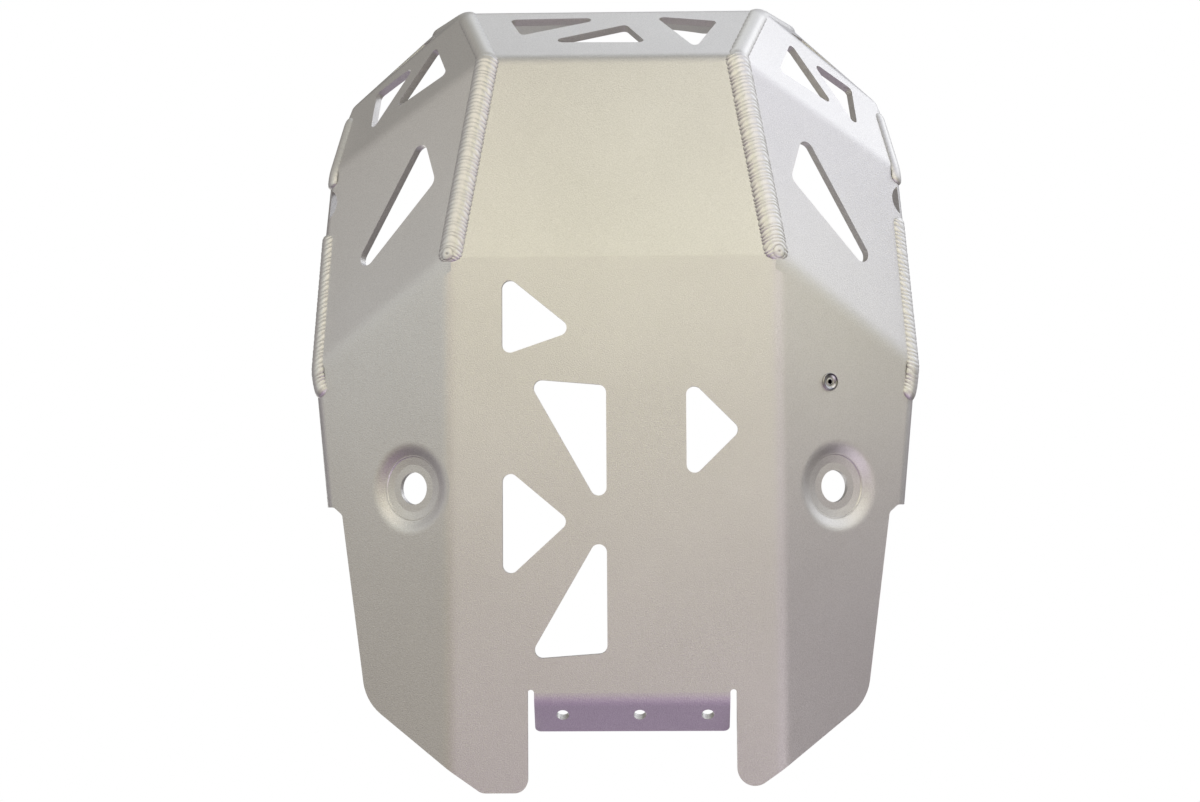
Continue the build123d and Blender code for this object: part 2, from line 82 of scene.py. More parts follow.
def graded(tree, value, start, stop, low=0.0, high=1.0, smooth=False):
    """Value graded from low at start to high at stop and held beyond them, in a line or a smooth step."""
    node = tree.nodes.new("ShaderNodeMapRange")
    node.interpolation_type = "SMOOTHSTEP" if smooth else "LINEAR"
    feed(tree, node.inputs["Value"], value)
    feed(tree, node.inputs["From Min"], start)
    feed(tree, node.inputs["From Max"], stop)
    feed(tree, node.inputs["To Min"], low)
    feed(tree, node.inputs["To Max"], high)
    return node.outputs["Result"]


def blended(tree, kind, share, first, second):
    """Blend of two numbers, vectors or colours: the first where share is 0 and the second where it is 1."""
    node = tree.nodes.new("ShaderNodeMix")
    node.data_type = kind
    first_socket, second_socket, result = MIX_SOCKETS[kind]
    feed(tree, node.inputs[0], share)
    feed(tree, node.inputs[first_socket], first)
    feed(tree, node.inputs[second_socket], second)
    return node.outputs[result]


def noise(tree, scale, detail, roughness=0.5):
    """Noise on the object's own coordinates."""
    place = tree.nodes.new("ShaderNodeTexCoord")
    node = tree.nodes.new("ShaderNodeTexNoise")
    feed(tree, node.inputs["Vector"], place.outputs["Object"])
    feed(tree, node.inputs["Scale"], scale)
    feed(tree, node.inputs["Detail"], detail)
    feed(tree, node.inputs["Roughness"], roughness)
    return node.outputs["Fac"]


def node_group(name, given, results):
    """Empty node group whose inputs and outputs are (label, kind) pairs. Gives the group, the sockets that
    its inputs come in by and the sockets that take its results."""
    group = bpy.data.node_groups.new(name, "ShaderNodeTree")
    for in_out, sockets in (("INPUT", given), ("OUTPUT", results)):
        for label, kind in sockets:
            group.interface.new_socket(label, in_out=in_out, socket_type="NodeSocket" + kind)
    return group, group.nodes.new("NodeGroupInput").outputs, group.nodes.new("NodeGroupOutput").inputs


def blast_grain_group():
    """Blasted surface on object coordinates: the pebble is two noises of 0.7 and 0.3 mm added together,
    and the clouds are one slow noise of about 70 mm."""
    group, given, results = node_group(
        "blast_grain", [("Scale", "Float")], [("Pebble", "Float"), ("Cloud", "Float")]
    )
    coarse = noise(group, given["Scale"], detail=2.0, roughness=0.55)
    fine = noise(group, number(group, "MULTIPLY", given["Scale"], FINE_PEBBLE_RATIO), detail=1.0)
    feed(group, results["Pebble"], blended(group, "FLOAT", FINE_PEBBLE_SHARE, coarse, fine))
    feed(group, results["Cloud"], noise(group, CLOUD_SCALE, detail=3.0))
    return group


BLAST_GRAIN = blast_grain_group()


def blasted_aluminium(name, light, shade, roughness, pebble_scale, pebble_depth):
    """Matt silver: the pebble lifts the surface, tints it between shade and light and varies its roughness,
    and the clouds shift the tint a little."""
    finish = bpy.data.materials.new(name)
    finish.use_nodes = True
    tree = finish.node_tree
    shader = tree.nodes["Principled BSDF"]
    grain = tree.nodes.new("ShaderNodeGroup")
    grain.node_tree = BLAST_GRAIN
    feed(tree, grain.inputs["Scale"], pebble_scale)
    pebble = grain.outputs["Pebble"]
    tone = number(
        tree,
        "ADD",
        graded(tree, pebble, *PEBBLE_TONE_SPAN),
        graded(tree, grain.outputs["Cloud"], *GRAIN_SPAN, *CLOUD_TINT),
    )
    tone.node.use_clamp = True
    bump = tree.nodes.new("ShaderNodeBump")
    bump.name = "pebble_bump"
    feed(tree, bump.inputs["Strength"], 1.0)
    feed(tree, bump.inputs["Distance"], pebble_depth)
    feed(tree, bump.inputs["Height"], pebble)
    feed(tree, shader.inputs["Metallic"], 1.0)
    feed(tree, shader.inputs["Base Color"], blended(tree, "RGBA", tone, shade, light))
    feed(tree, shader.inputs["Roughness"], graded(tree, pebble, *GRAIN_SPAN, *roughness))
    feed(tree, shader.inputs["Normal"], bump.outputs["Normal"])
    return finish


NOSE_FOLD = np.array([0.0, -66.4, 0.0])
BELLY_CORNER = np.array([86.0, -66.4, 0.0])
AHEAD = 90.0
WING_TILT = 30.0
NOSE_TILT = 9.0
NOSE_LENGTH = 110.0
LIP_TILT = 50.0
FOLD_FACING = 0.9
SEAT_STATION = 120.5
SEAT_REACHES = ((1.0, 36.7), (-1.0, 25.0))
SEAT_FOOT = (16.6, 18.0)
SEAT_MOUTH = (19.5, 25.5)
SEAT_SLOPE = 0.43
SEAT_FACING = 0.8


def unit(way):
    """Direction, or rows of directions, of length one."""
    return way / np.linalg.norm(way, axis=-1, keepdims=True)


def panel_normal(tilt, turn):
    """Outward normal of a right-hand panel, tilted from the belly and turned from sideways to ahead."""
    slope, azimuth = np.radians(tilt), np.radians(turn)
    return np.array([np.sin(slope) * np.cos(azimuth), -np.sin(slope) * np.sin(azimuth), -np.cos(slope)])


def corner_of(*panels):
    """Point on three panels at once. Each panel is (normal, point): normal . corner = normal . point."""
    normals = np.array([normal for normal, point in panels])
    return np.linalg.solve(normals, np.array([normal @ point for normal, point in panels]))


def forward_step(length, tilt):
    """Step up a panel ahead of the belly: forward by the tilt's cosine and up by its sine."""
    return length * np.array([0.0, -np.cos(np.radians(tilt)), np.sin(np.radians(tilt))])


def wing_spot(reach, station):
    """Point on the right wing, reach up its slope from the belly and station behind the nose's fold."""
    slope = np.radians(WING_TILT)
    return BELLY_CORNER + np.array([reach * np.cos(slope), station, reach * np.sin(slope)])


BELLY_NORMAL = np.array([0.0, 0.0, -1.0])
WING_NORMAL = panel_normal(WING_TILT, 0.0)
NOSE_NORMAL = panel_normal(NOSE_TILT, AHEAD)
LIP_NORMAL = panel_normal(LIP_TILT, AHEAD)
FRONT_WING_NORMAL = panel_normal(40.0, 20.5)
UPPER_WING_NORMAL = panel_normal(52.0, 35.5)
FRONT_WING = (FRONT_WING_NORMAL, BELLY_CORNER)
LIP_FOLD = NOSE_FOLD + forward_step(NOSE_LENGTH, NOSE_TILT)
LIP_CORNER = corner_of((NOSE_NORMAL, NOSE_FOLD), (LIP_NORMAL, LIP_FOLD), FRONT_WING)
UPPER_WING = (UPPER_WING_NORMAL, LIP_CORNER)
SOFT_FOLDS = (
    (BELLY_CORNER, BELLY_NORMAL, WING_NORMAL, 5.5),
    (BELLY_CORNER, WING_NORMAL, FRONT_WING_NORMAL, 7.0),
    (LIP_CORNER, FRONT_WING_NORMAL, UPPER_WING_NORMAL, 5.0),
    (LIP_FOLD, NOSE_NORMAL, LIP_NORMAL, 5.0),
)


def soft_fold_group():
    """Eases the shading across a fold on either side. Distance across the fold goes through a smooth step
    over its width, the normal is the first panel's turned toward the second's by it, and x is mirrored on
    the left. Only faces that look along the fold's middle take it: cut edges and the inside keep theirs."""
    vectors = ("Normal", "Point", "Across", "First", "Second", "Middle")
    group, given, results = node_group(
        "soft_fold", [*((label, "Vector") for label in vectors), ("Width", "Float")], [("Normal", "Vector")]
    )
    place = group.nodes.new("ShaderNodeTexCoord").outputs["Object"]
    parts = group.nodes.new("ShaderNodeSeparateXYZ")
    mirror = group.nodes.new("ShaderNodeCombineXYZ")
    feed(group, parts.inputs["Vector"], place)
    feed(group, mirror.inputs["X"], number(group, "SIGN", parts.outputs["X"]))
    feed(group, mirror.inputs["Y"], 1.0)
    feed(group, mirror.inputs["Z"], 1.0)
    flip = mirror.outputs["Vector"]
    offset = vector(group, "SUBTRACT", vector(group, "MULTIPLY", place, flip), given["Point"])
    across = vector(group, "DOT_PRODUCT", offset, given["Across"])
    behind = number(group, "MULTIPLY", given["Width"], -1.0)
    share = graded(group, across, behind, given["Width"], smooth=True)
    turned = vector(group, "NORMALIZE", blended(group, "VECTOR", share, given["First"], given["Second"]))
    looks = vector(group, "DOT_PRODUCT", vector(group, "MULTIPLY", given["Normal"], flip), given["Middle"])
    facing = number(group, "GREATER_THAN", looks, FOLD_FACING)
    near = number(group, "LESS_THAN", number(group, "ABSOLUTE", across), given["Width"])
    mask = number(group, "MULTIPLY", facing, near)
    soft = vector(group, "MULTIPLY", turned, flip)
    feed(group, results["Normal"], blended(group, "VECTOR", mask, given["Normal"], soft))
    return group


def soft_seat_group():
    """Eases the shading of a pressed seat. The slope is a smooth bell of the distance from the hole's axis,
    from the mouth down to the seat's foot, and the normal is the axis less slope times the way outward."""
    group, given, results = node_group(
        "soft_seat", [(label, "Vector") for label in ("Normal", "Centre", "Axis")], [("Normal", "Vector")]
    )
    foot, mouth = np.array(SEAT_FOOT) * MM, np.array(SEAT_MOUTH) * MM
    axis = given["Axis"]
    place = group.nodes.new("ShaderNodeTexCoord").outputs["Object"]
    offset = vector(group, "SUBTRACT", place, given["Centre"])
    spoke = vector(group, "CROSS_PRODUCT", vector(group, "CROSS_PRODUCT", axis, offset), axis)
    reach = vector(group, "LENGTH", spoke)
    from_mouth = graded(group, reach, *mouth, SEAT_SLOPE, 0.0, smooth=True)
    slope = number(group, "MULTIPLY", from_mouth, graded(group, reach, *foot, smooth=True))
    tilt = vector(group, "MULTIPLY", vector(group, "NORMALIZE", spoke), slope)
    soft = vector(group, "NORMALIZE", vector(group, "SUBTRACT", axis, tilt))
    looks = vector(group, "DOT_PRODUCT", given["Normal"], axis)
    facing = number(group, "GREATER_THAN", looks, SEAT_FACING)
    past_foot = number(group, "GREATER_THAN", reach, foot[0])
    ring = number(group, "MULTIPLY", past_foot, number(group, "LESS_THAN", reach, mouth[1]))
    mask = number(group, "MULTIPLY", ring, facing)
    feed(group, results["Normal"], blended(group, "VECTOR", mask, given["Normal"], soft))
    return group


def eased(tree, group, normal, **settings):
    """Normal that comes out of an easing group with its settings."""
    node = tree.nodes.new("ShaderNodeGroup")
    node.node_tree = group
    feed(tree, node.inputs["Normal"], normal)
    for label, value in settings.items():
        feed(tree, node.inputs[label], value)
    return node.outputs["Normal"]


SOFT_FOLD = soft_fold_group()
SOFT_SEAT = soft_seat_group()
sheet_blasted = blasted_aluminium(
    "sheet_blasted", SHEET_COLOUR, SHEET_SHADE, SHEET_ROUGHNESS, SHEET_PEBBLE_SCALE, SHEET_PEBBLE_DEPTH
)
sheet_tree = sheet_blasted.node_tree
sheet_normal = sheet_tree.nodes.new("ShaderNodeNewGeometry").outputs["Normal"]
for spot, first, second, width in SOFT_FOLDS:
    sheet_normal = eased(
        sheet_tree,
        SOFT_FOLD,
        sheet_normal,
        Point=spot * MM,
        Across=unit(second - first),
        First=first,
        Second=second,
        Middle=unit(first + second),
        Width=width * MM,
    )
for side, reach in SEAT_REACHES:
    hand_flip = np.array([side, 1.0, 1.0])
    sheet_normal = eased(
        sheet_tree,
        SOFT_SEAT,
        sheet_normal,
        Centre=wing_spot(reach, SEAT_STATION) * hand_flip * MM,
        Axis=WING_NORMAL * hand_flip,
    )
feed(sheet_tree, sheet_tree.nodes["pebble_bump"].inputs["Normal"], sheet_normal)
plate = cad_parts["skid_plate"]
plate.data.materials.clear()
plate.data.materials.append(sheet_blasted)

# The nose welds: two TIG beads along the folds between the nose and the front wings, aluminium filler laid
# drop by drop from the nose tip to the belly, so each ends in a round crater, then blasted with the sheet.
BEND_RADIUS = 8.0
NOSE_BEAD_HALF = 6.7
NOSE_CREST_STATIONS = (0.0, 3.0, 18.0)
NOSE_CREST_HEIGHTS = (0.35, 0.45, 1.7)
NOSE_BEAD_DROP = 2.3
NOSE_BEAD_OVERRUN = 3.5
NOSE_BEAD_LAP = 2.6
WELD_COLOUR = (0.87, 0.86, 0.81, 1.0)
WELD_SHADE = (0.72, 0.71, 0.665, 1.0)
WELD_ROUGHNESS = (0.42, 0.52)
WELD_PEBBLE_SCALE = 1900.0
WELD_PEBBLE_DEPTH = 0.00004
# Painted shade: the beads' toes, the valleys between drops and the buried underside are painted darker
# toward this colour.
PAINTED_SHADE_COLOUR = (0.34, 0.33, 0.31, 1.0)
HANDS = ((1, "right"), (-1, "left"))
EASE_SAMPLES = 9
BEAD_COLUMNS = 35
UNDERSIDE_COLUMNS = 11
UNDERSIDE_DEPTH = 1.0
CROWN_POWER = 2.3
CROWN_FULLNESS = 0.75
DROP_POWER = 2.4
DROP_MEAN = 0.55
DROP_VARIETY = 0.3
DROP_SHUFFLE = 2.4
DROP_WANDER = ((0.5, 0.37, 1.0), (0.35, 0.91, 2.0))
RIPPLE_ON_CROWN = 0.3
PAINTED_SHADE_ON_CROWN = 0.08
PAINTED_SHADE_AT_TOE = 0.6
FULL_PAINTED_SHADE_DEPTH = 0.2
END_SINK = 0.6
CRATER_DISC, CRATER_EDGE, CRATER_LIFT = 2.6, 1.2, 0.1
# The crater's pit and the moat round its rim are painted darker: painted shade.
PIT_RADIUS, PIT_DEPTH, PIT_PAINTED_SHADE = 0.6, 0.4, 0.9
MOAT_RADIUS, MOAT_HALF, MOAT_DEPTH, MOAT_PAINTED_SHADE = 3.4, 0.3, 0.22, 0.6


def ridge(first, second):
    """Outward direction of the fold between two panels, and its slope: the tangent of half their angle."""
    half = np.arccos(np.clip(first @ second, -1.0, 1.0)) / 2.0
    return unit(first + second), np.tan(half)


def bead_stations(knots, ridges, step, ease):
    """Even stations on the straight runs between knots. Each is the mean of the stations within ease of it,
    which rounds the corners. Gives points, outward directions, fold slopes and distances."""
    knots = np.array(knots)
    marks = np.concatenate([[0.0], np.cumsum(np.linalg.norm(np.diff(knots, axis=0), axis=1))])
    dist = np.linspace(0.0, marks[-1], int(round(marks[-1] / step)) + 1)
    near = np.clip(dist[:, None] + np.linspace(-ease, ease, EASE_SAMPLES), 0.0, marks[-1])
    rows = np.column_stack([knots, [way for way, slope in ridges], [slope for way, slope in ridges]])
    mean = np.stack([np.interp(near, marks, column).mean(axis=1) for column in rows.T], axis=1)
    return mean[:, :3], unit(mean[:, 3:6]), mean[:, 6], dist


def metal_mesh(name, verts, faces, painted_shade):
    """Smooth mesh from points in millimetres, with a per-point attribute that marks painted shade: where
    its finish is painted darker.
    """
    mesh = bpy.data.meshes.new(name)
    mesh.from_pydata((verts * MM).tolist(), [], faces)
    mesh.polygons.foreach_set("use_smooth", np.ones(len(mesh.polygons), bool))
    shade = mesh.attributes.new("painted_shade", "FLOAT", "POINT")
    shade.data.foreach_set("value", painted_shade.astype(np.float32))
    mesh.update()
    return mesh


def bead_mesh(
    name, side, stations, half, crest, drop, lag, depth, tapers,
    scallop=0.08, tuck=0.12, crater=None, cut=None,
):
    """Weld bead carried along a fold. Across the bead, t runs from toe to toe and the height is
    toe + (crest - toe) (1 - |t|^2.3)^0.75. Each drop is a rounded step 1 - |2x - 1|^2.4 of its phase x,
    deepest at the toes, and the phase lags by t squared, so drops are crescents. The underside follows the
    rounded fold 1 mm inside the sheet. The ends close as quarter rounds, or are cut level at a height."""
    points, outward, slope, dist = stations
    along = unit(np.gradient(points, axis=0))
    across = unit(np.cross(along, outward))
    upward = np.cross(across, along)
    fold_drop = BEND_RADIUS * (np.sqrt(1.0 + slope ** 2) - 1.0)
    full = np.ones_like(dist)
    for taper, reach in zip(tapers, (dist, dist[-1] - dist)):
        if taper > 0.0:
            full = full * np.sqrt(1.0 - (1.0 - np.clip(reach / taper, 0.0, 1.0)) ** 2)
    t = -np.cos(np.linspace(0.0, np.pi, BEAD_COLUMNS))[None, :]
    wander = sum(swing * np.sin(dist * rate + shift * side) for swing, rate, shift in DROP_WANDER)
    phase = ((dist + wander)[:, None] + lag * t ** 2) / drop
    step = 1.0 - np.abs(2.0 * (phase % 1.0) - 1.0) ** DROP_POWER
    size = 1.0 + DROP_VARIETY * np.sin(np.floor(phase) * DROP_SHUFFLE + side)
    width = (half * full)[:, None]
    u = width * t * (1.0 + scallop * (step - 0.5) * t ** 4)
    toe = -np.sqrt((slope * half * full) ** 2 + fold_drop ** 2) - tuck
    top = -fold_drop + (crest + fold_drop) * full - END_SINK * (1.0 - full)
    crown = (1.0 - np.abs(t) ** CROWN_POWER) ** CROWN_FULLNESS
    to_toes = RIPPLE_ON_CROWN + (1.0 - RIPPLE_ON_CROWN) * t ** 2
    ripple = depth * size * full[:, None] * to_toes * (1.0 - t ** 8) * (step - DROP_MEAN)
    # Painted shade: the valleys between drops are painted darker, most toward the toes, and the toes get a
    # dark painted line.
    painted_shade = (1.0 - step) ** 3 * (PAINTED_SHADE_ON_CROWN + (1.0 - PAINTED_SHADE_ON_CROWN) * t ** 2)
    painted_shade = painted_shade * np.minimum(1.0, depth / FULL_PAINTED_SHADE_DEPTH)
    painted_shade = np.clip(painted_shade + PAINTED_SHADE_AT_TOE * np.abs(t) ** 24, 0.0, 1.0)
    if crater is not None:
        middle, offset = crater
        radius = np.sqrt((dist[:, None] - middle) ** 2 + (u - offset) ** 2)
        calm = np.clip((radius - CRATER_DISC) / CRATER_EDGE, 0.0, 1.0)
        pit = np.exp(-(radius / PIT_RADIUS) ** 2)
        moat = np.exp(-((radius - MOAT_RADIUS) / MOAT_HALF) ** 2)
        ripple = ripple * calm + CRATER_LIFT * (1.0 - calm) - PIT_DEPTH * pit - MOAT_DEPTH * moat
        # Painted shade in the crater's pit and moat.
        painted_shade = np.clip(painted_shade * calm + PIT_PAINTED_SHADE * pit + MOAT_PAINTED_SHADE * moat, 0.0, 1.0)
    h = toe[:, None] + (top - toe)[:, None] * crown + ripple
    t_under = np.cos(np.linspace(0.0, np.pi, UNDERSIDE_COLUMNS))[None, 1:-1]
    u_under = width * t_under
    h_under = -np.sqrt((slope[:, None] * u_under) ** 2 + fold_drop[:, None] ** 2)
    h_under = h_under - UNDERSIDE_DEPTH * (1.0 - t_under ** 2) - END_SINK * (1.0 - full)[:, None]
    u = np.concatenate([u, u_under], axis=1)
    h = np.concatenate([h, h_under], axis=1)
    # The underside, buried in the sheet, is painted fully dark as painted shade.
    painted_shade = np.concatenate([painted_shade, np.ones_like(u_under)], axis=1)
    grid = points[:, None, :] + u[:, :, None] * across[:, None, :] + h[:, :, None] * upward[:, None, :]
    if cut is not None:
        grid[-1] += along[-1] * ((cut - grid[-1, :, 2]) / along[-1, 2])[:, None]
    rows, columns = grid.shape[:2]
    index = np.arange(rows * columns).reshape(rows, columns)
    after = np.roll(index, -1, axis=1)
    quads = np.stack([index[:-1], after[:-1], after[1:], index[1:]], axis=2).reshape(-1, 4)
    start, finish = rows * columns, rows * columns + 1
    start_fan = np.stack([np.full(columns, start), after[0], index[0]], axis=1)
    finish_fan = np.stack([np.full(columns, finish), index[-1], after[-1]], axis=1)
    faces = [*quads.tolist(), *start_fan.tolist(), *finish_fan.tolist()]
    if side < 0:
        faces = [face[::-1] for face in faces]
    verts = np.concatenate([grid.reshape(-1, 3), grid[:1].mean(axis=1), grid[-1:].mean(axis=1)])
    return metal_mesh(name, verts * (side, 1.0, 1.0), faces, np.concatenate([painted_shade.ravel(), [1.0, 1.0]]))


def paint_shade_in_hollows(finish, dark):
    """Mixes a dark colour into a finish where the mesh attribute marks painted shade: hollows, toes and
    bores painted darker.
    """
    tree = finish.node_tree
    base = tree.nodes["Principled BSDF"].inputs["Base Color"]
    mark = tree.nodes.new("ShaderNodeAttribute")
    mark.attribute_name = "painted_shade"
    feed(tree, base, blended(tree, "RGBA", mark.outputs["Fac"], base.links[0].from_socket, dark))


def lay_weld(mesh, node):
    """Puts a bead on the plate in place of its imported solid."""
    piece = bpy.data.objects.new(mesh.name, mesh)
    bpy.context.scene.collection.objects.link(piece)
    mesh.materials.append(weld_blasted)
    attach(piece, "root")
    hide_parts(node)


weld_blasted = blasted_aluminium(
    "weld_blasted", WELD_COLOUR, WELD_SHADE, WELD_ROUGHNESS, WELD_PEBBLE_SCALE, WELD_PEBBLE_DEPTH
)
# The bead finish takes painted shade where the beads mark it.
paint_shade_in_hollows(weld_blasted, PAINTED_SHADE_COLOUR)
nose_ridge = ridge(NOSE_NORMAL, FRONT_WING_NORMAL)
nose_stations = bead_stations(
    [
        BELLY_CORNER + np.array([0.0, NOSE_BEAD_OVERRUN, 0.0]),
        BELLY_CORNER,
        LIP_CORNER + NOSE_BEAD_LAP * unit(LIP_CORNER - BELLY_CORNER),
    ],
    [ridge(BELLY_NORMAL, WING_NORMAL), nose_ridge, nose_ridge],
    step=0.22,
    ease=2.0,
)
for side, hand in HANDS:
    nose_bead = bead_mesh(
        "nose_bead_" + hand,
        side,
        nose_stations,
        half=NOSE_BEAD_HALF,
        crest=np.interp(nose_stations[3], NOSE_CREST_STATIONS, NOSE_CREST_HEIGHTS),
        drop=NOSE_BEAD_DROP,
        lag=2.8,
        depth=0.55,
        tapers=(6.0, 4.5),
        scallop=0.1,
        crater=(4.9, 0.7),
    )
    lay_weld(nose_bead, "nose_weld_" + hand)

# The lip welds: smooth broad beads from the nose corners up the folds of the lip and round onto the front
# wall. They are the same filler, laid in one slow pass and nearly free of ripples. They overlap the nose
# beads in a collar, and the top is cut level with the rim.
RIM_HEIGHT = 96.0
LIP_LENGTH = 54.0
LIP_BEAD_HALF = 5.2
LIP_BEAD_CREST = 0.8
LIP_BEAD_LAP = 1.5
LIP_BEAD_STOP = 2.6
TURN_DIP, TURN_DIP_REACH = 0.9, 6.0
COLLAR_DIP, COLLAR_DIP_REACH, COLLAR_STATION = 1.2, 3.5, 1.0
FRONT_NORMAL = panel_normal(90.0, AHEAD)
RIM_WING_NORMAL = panel_normal(72.5, 48.0)
RIM = (-BELLY_NORMAL, np.array([0.0, 0.0, RIM_HEIGHT]))
FRONT_FOLD = LIP_FOLD + forward_step(LIP_LENGTH, LIP_TILT)
FRONT_CORNER = corner_of((LIP_NORMAL, LIP_FOLD), (FRONT_NORMAL, FRONT_FOLD), UPPER_WING)
RIM_CORNER = corner_of((FRONT_NORMAL, FRONT_FOLD), (RIM_WING_NORMAL, FRONT_CORNER), RIM)
lip_ridge = ridge(LIP_NORMAL, UPPER_WING_NORMAL)
lip_stations = bead_stations(
    [
        LIP_CORNER - LIP_BEAD_LAP * unit(FRONT_CORNER - LIP_CORNER),
        FRONT_CORNER,
        RIM_CORNER - LIP_BEAD_STOP * unit(RIM_CORNER - FRONT_CORNER),
    ],
    [lip_ridge, lip_ridge, ridge(FRONT_NORMAL, RIM_WING_NORMAL)],
    step=0.4,
    ease=5.0,
)
lip_turn = np.linalg.norm(FRONT_CORNER - LIP_CORNER) + LIP_BEAD_LAP
turn_dip = TURN_DIP * np.exp(-((lip_stations[3] - lip_turn) / TURN_DIP_REACH) ** 2)
collar_dip = COLLAR_DIP * np.exp(-((lip_stations[3] - COLLAR_STATION) / COLLAR_DIP_REACH) ** 2)
lip_crest = LIP_BEAD_CREST - turn_dip - collar_dip
for side, hand in HANDS:
    lip_bead = bead_mesh(
        "lip_bead_" + hand,
        side,
        lip_stations,
        half=LIP_BEAD_HALF,
        crest=lip_crest,
        drop=4.6,
        lag=1.5,
        depth=0.05,
        tapers=(3.0, 0.0),
        cut=RIM_HEIGHT,
    )
    lay_weld(lip_bead, "lip_weld_" + hand)

# The lower flank welds: rippled beads of the same filler that close the seams between the front wings and
# the flanks. Each runs from its relief down past the hip and ends there, blunt and a little in on the wing.
FLANK_BEAD_HALF = 5.6
FLANK_BEAD_DROP = 2.7
FLANK_BEAD_INSET = 3.9
FLANK_BEAD_ENDS = ((1, "right", 9.5, 16.0, 4.0), (-1, "left", 17.0, 12.5, 2.4))
FLANK_CREST_STATIONS = (0.0, 5.0, 12.0, 18.0)
FLANK_CREST_HEIGHTS = (1.9, 1.8, 1.3, 1.1)
FLANK_RIPPLE_DEPTH = 0.5
TAIL_TURN = 6.0
TAIL_RUN = 3.0
TAIL_INSET = 3.0
TAIL_CALM = 20.0
TAIL_RIPPLE = 0.25
RELIEF_STATION = 18.5


def wing_edge(x, station):
    """Point on the right wing's plane at x, station behind the nose's fold: its height is the wing's slope
    times the distance from the belly."""
    height = (x - BELLY_CORNER[0]) * np.tan(np.radians(WING_TILT))
    return np.array([x, NOSE_FOLD[1] + station, height])


def edge_way(wing, flank):
    """Direction on a wing's face square to its fold and out toward the flank: the flank's normal less its
    share along the wing's normal."""
    return unit(flank - wing * (wing @ flank))


FLANK_FRONT = wing_edge(166.6, 53.0)
FLANK_REAR = wing_edge(159.0, 127.0)
FORE_NORMAL = panel_normal(111.3, -2.2)
flank_way = unit(FLANK_REAR - FLANK_FRONT)
flank_normal = np.cross(WING_NORMAL, flank_way)
HIP_CORNER = corner_of((WING_NORMAL, BELLY_CORNER), FRONT_WING, (flank_normal, FLANK_FRONT))
FORE_FLANK = (FORE_NORMAL, HIP_CORNER + FORE_NORMAL)
SHOULDER = corner_of(FRONT_WING, UPPER_WING, FORE_FLANK)
seam_way = unit(HIP_CORNER - SHOULDER)
RELIEF = SHOULDER + RELIEF_STATION * seam_way
seam_edge = edge_way(FRONT_WING_NORMAL, FORE_NORMAL)
hip_edge = edge_way(WING_NORMAL, flank_normal)
seam_lay = (0.95 * FRONT_WING_NORMAL + 0.32 * seam_edge, 0.37)
hip_lay = (0.88 * WING_NORMAL + 0.47 * hip_edge, 0.49)
tail_lay = (0.95 * WING_NORMAL + 0.3 * hip_edge, 0.3)
for side, hand, gap, tail, start_inset in FLANK_BEAD_ENDS:
    lower_stations = bead_stations(
        [
            RELIEF + gap * seam_way - start_inset * seam_edge,
            HIP_CORNER - FLANK_BEAD_INSET * seam_edge,
            HIP_CORNER + (tail - TAIL_TURN) * flank_way - FLANK_BEAD_INSET * hip_edge,
            HIP_CORNER + (tail + TAIL_RUN) * flank_way - (FLANK_BEAD_INSET + TAIL_INSET) * hip_edge,
        ],
        [seam_lay, seam_lay, hip_lay, tail_lay],
        step=0.26,
        ease=3.0,
    )
    to_tail = lower_stations[3][-1] - lower_stations[3]
    lower_bead = bead_mesh(
        "lower_flank_bead_" + hand,
        side,
        lower_stations,
        half=FLANK_BEAD_HALF,
        crest=np.interp(to_tail, FLANK_CREST_STATIONS, FLANK_CREST_HEIGHTS),
        drop=FLANK_BEAD_DROP,
        lag=2.2,
        depth=np.clip(to_tail / TAIL_CALM, TAIL_RIPPLE, 1.0)[:, None] * FLANK_RIPPLE_DEPTH,
        tapers=(4.6, 5.4),
        tuck=0.5,
    )
    lay_weld(lower_bead, "lower_flank_weld_" + hand)

# The upper flank welds: the same seams carried on above the reliefs to the rim, in the same filler.
# Each is one smooth and wide pass with round ends, blasted with the sheet.
UPPER_BEAD_HALF = 5.3
UPPER_BEAD_INSET = 1.8
UPPER_BEAD_STOP = 1.8
UPPER_END_INSET = 0.6
UPPER_BEAD_GAP = 9.0
RIM_SEAM = corner_of(UPPER_WING, FORE_FLANK, RIM)
upper_edge = edge_way(UPPER_WING_NORMAL, FORE_NORMAL)
upper_lay = (0.9 * UPPER_WING_NORMAL + 0.44 * upper_edge, 0.485)
upper_end = RIM_SEAM - UPPER_BEAD_STOP * unit(RIM_SEAM - SHOULDER)
upper_stations = bead_stations(
    [
        RELIEF - UPPER_BEAD_GAP * seam_way - UPPER_BEAD_INSET * seam_edge,
        SHOULDER - UPPER_BEAD_INSET * upper_edge,
        upper_end - (UPPER_BEAD_INSET + UPPER_END_INSET) * upper_edge,
    ],
    [(0.9 * FRONT_WING_NORMAL + 0.44 * seam_edge, 0.45), upper_lay, upper_lay],
    step=0.3,
    ease=4.0,
)
for side, hand in HANDS:
    upper_bead = bead_mesh(
        "upper_flank_bead_" + hand,
        side,
        upper_stations,
        half=UPPER_BEAD_HALF,
        crest=0.8,
        drop=3.1,
        lag=1.8,
        depth=0.05,
        tapers=(5.3, 7.0),
        scallop=0.02,
    )
    lay_weld(upper_bead, "upper_flank_weld_" + hand)

# The blind rivet: a bright aluminium rivet that fills a spare hole in the right wing. Its round head is
# dished by the setting tool, the steel mandrel is broken off deep in its bore, and its tail is swollen
# inside the sheet. Its bore and the steep edge of its dish are painted dark: painted shade.
RIVET_BORE = [(0.0, -0.9), (0.7, -0.92), (1.05, -1.05), (1.1, -1.3), (1.24, -1.3), (1.25, 0.30)]
RIVET_FACE = [
    (1.31, 0.46), (1.45, 0.52), (1.62, 0.46), (1.85, 0.38),
    (2.20, 0.36), (2.60, 0.43), (3.00, 0.55), (3.40, 0.70),
]
RIVET_DISH_EDGE = [(3.75, 0.86), (3.95, 1.00), (4.10, 1.20), (4.25, 1.37), (4.42, 1.42)]
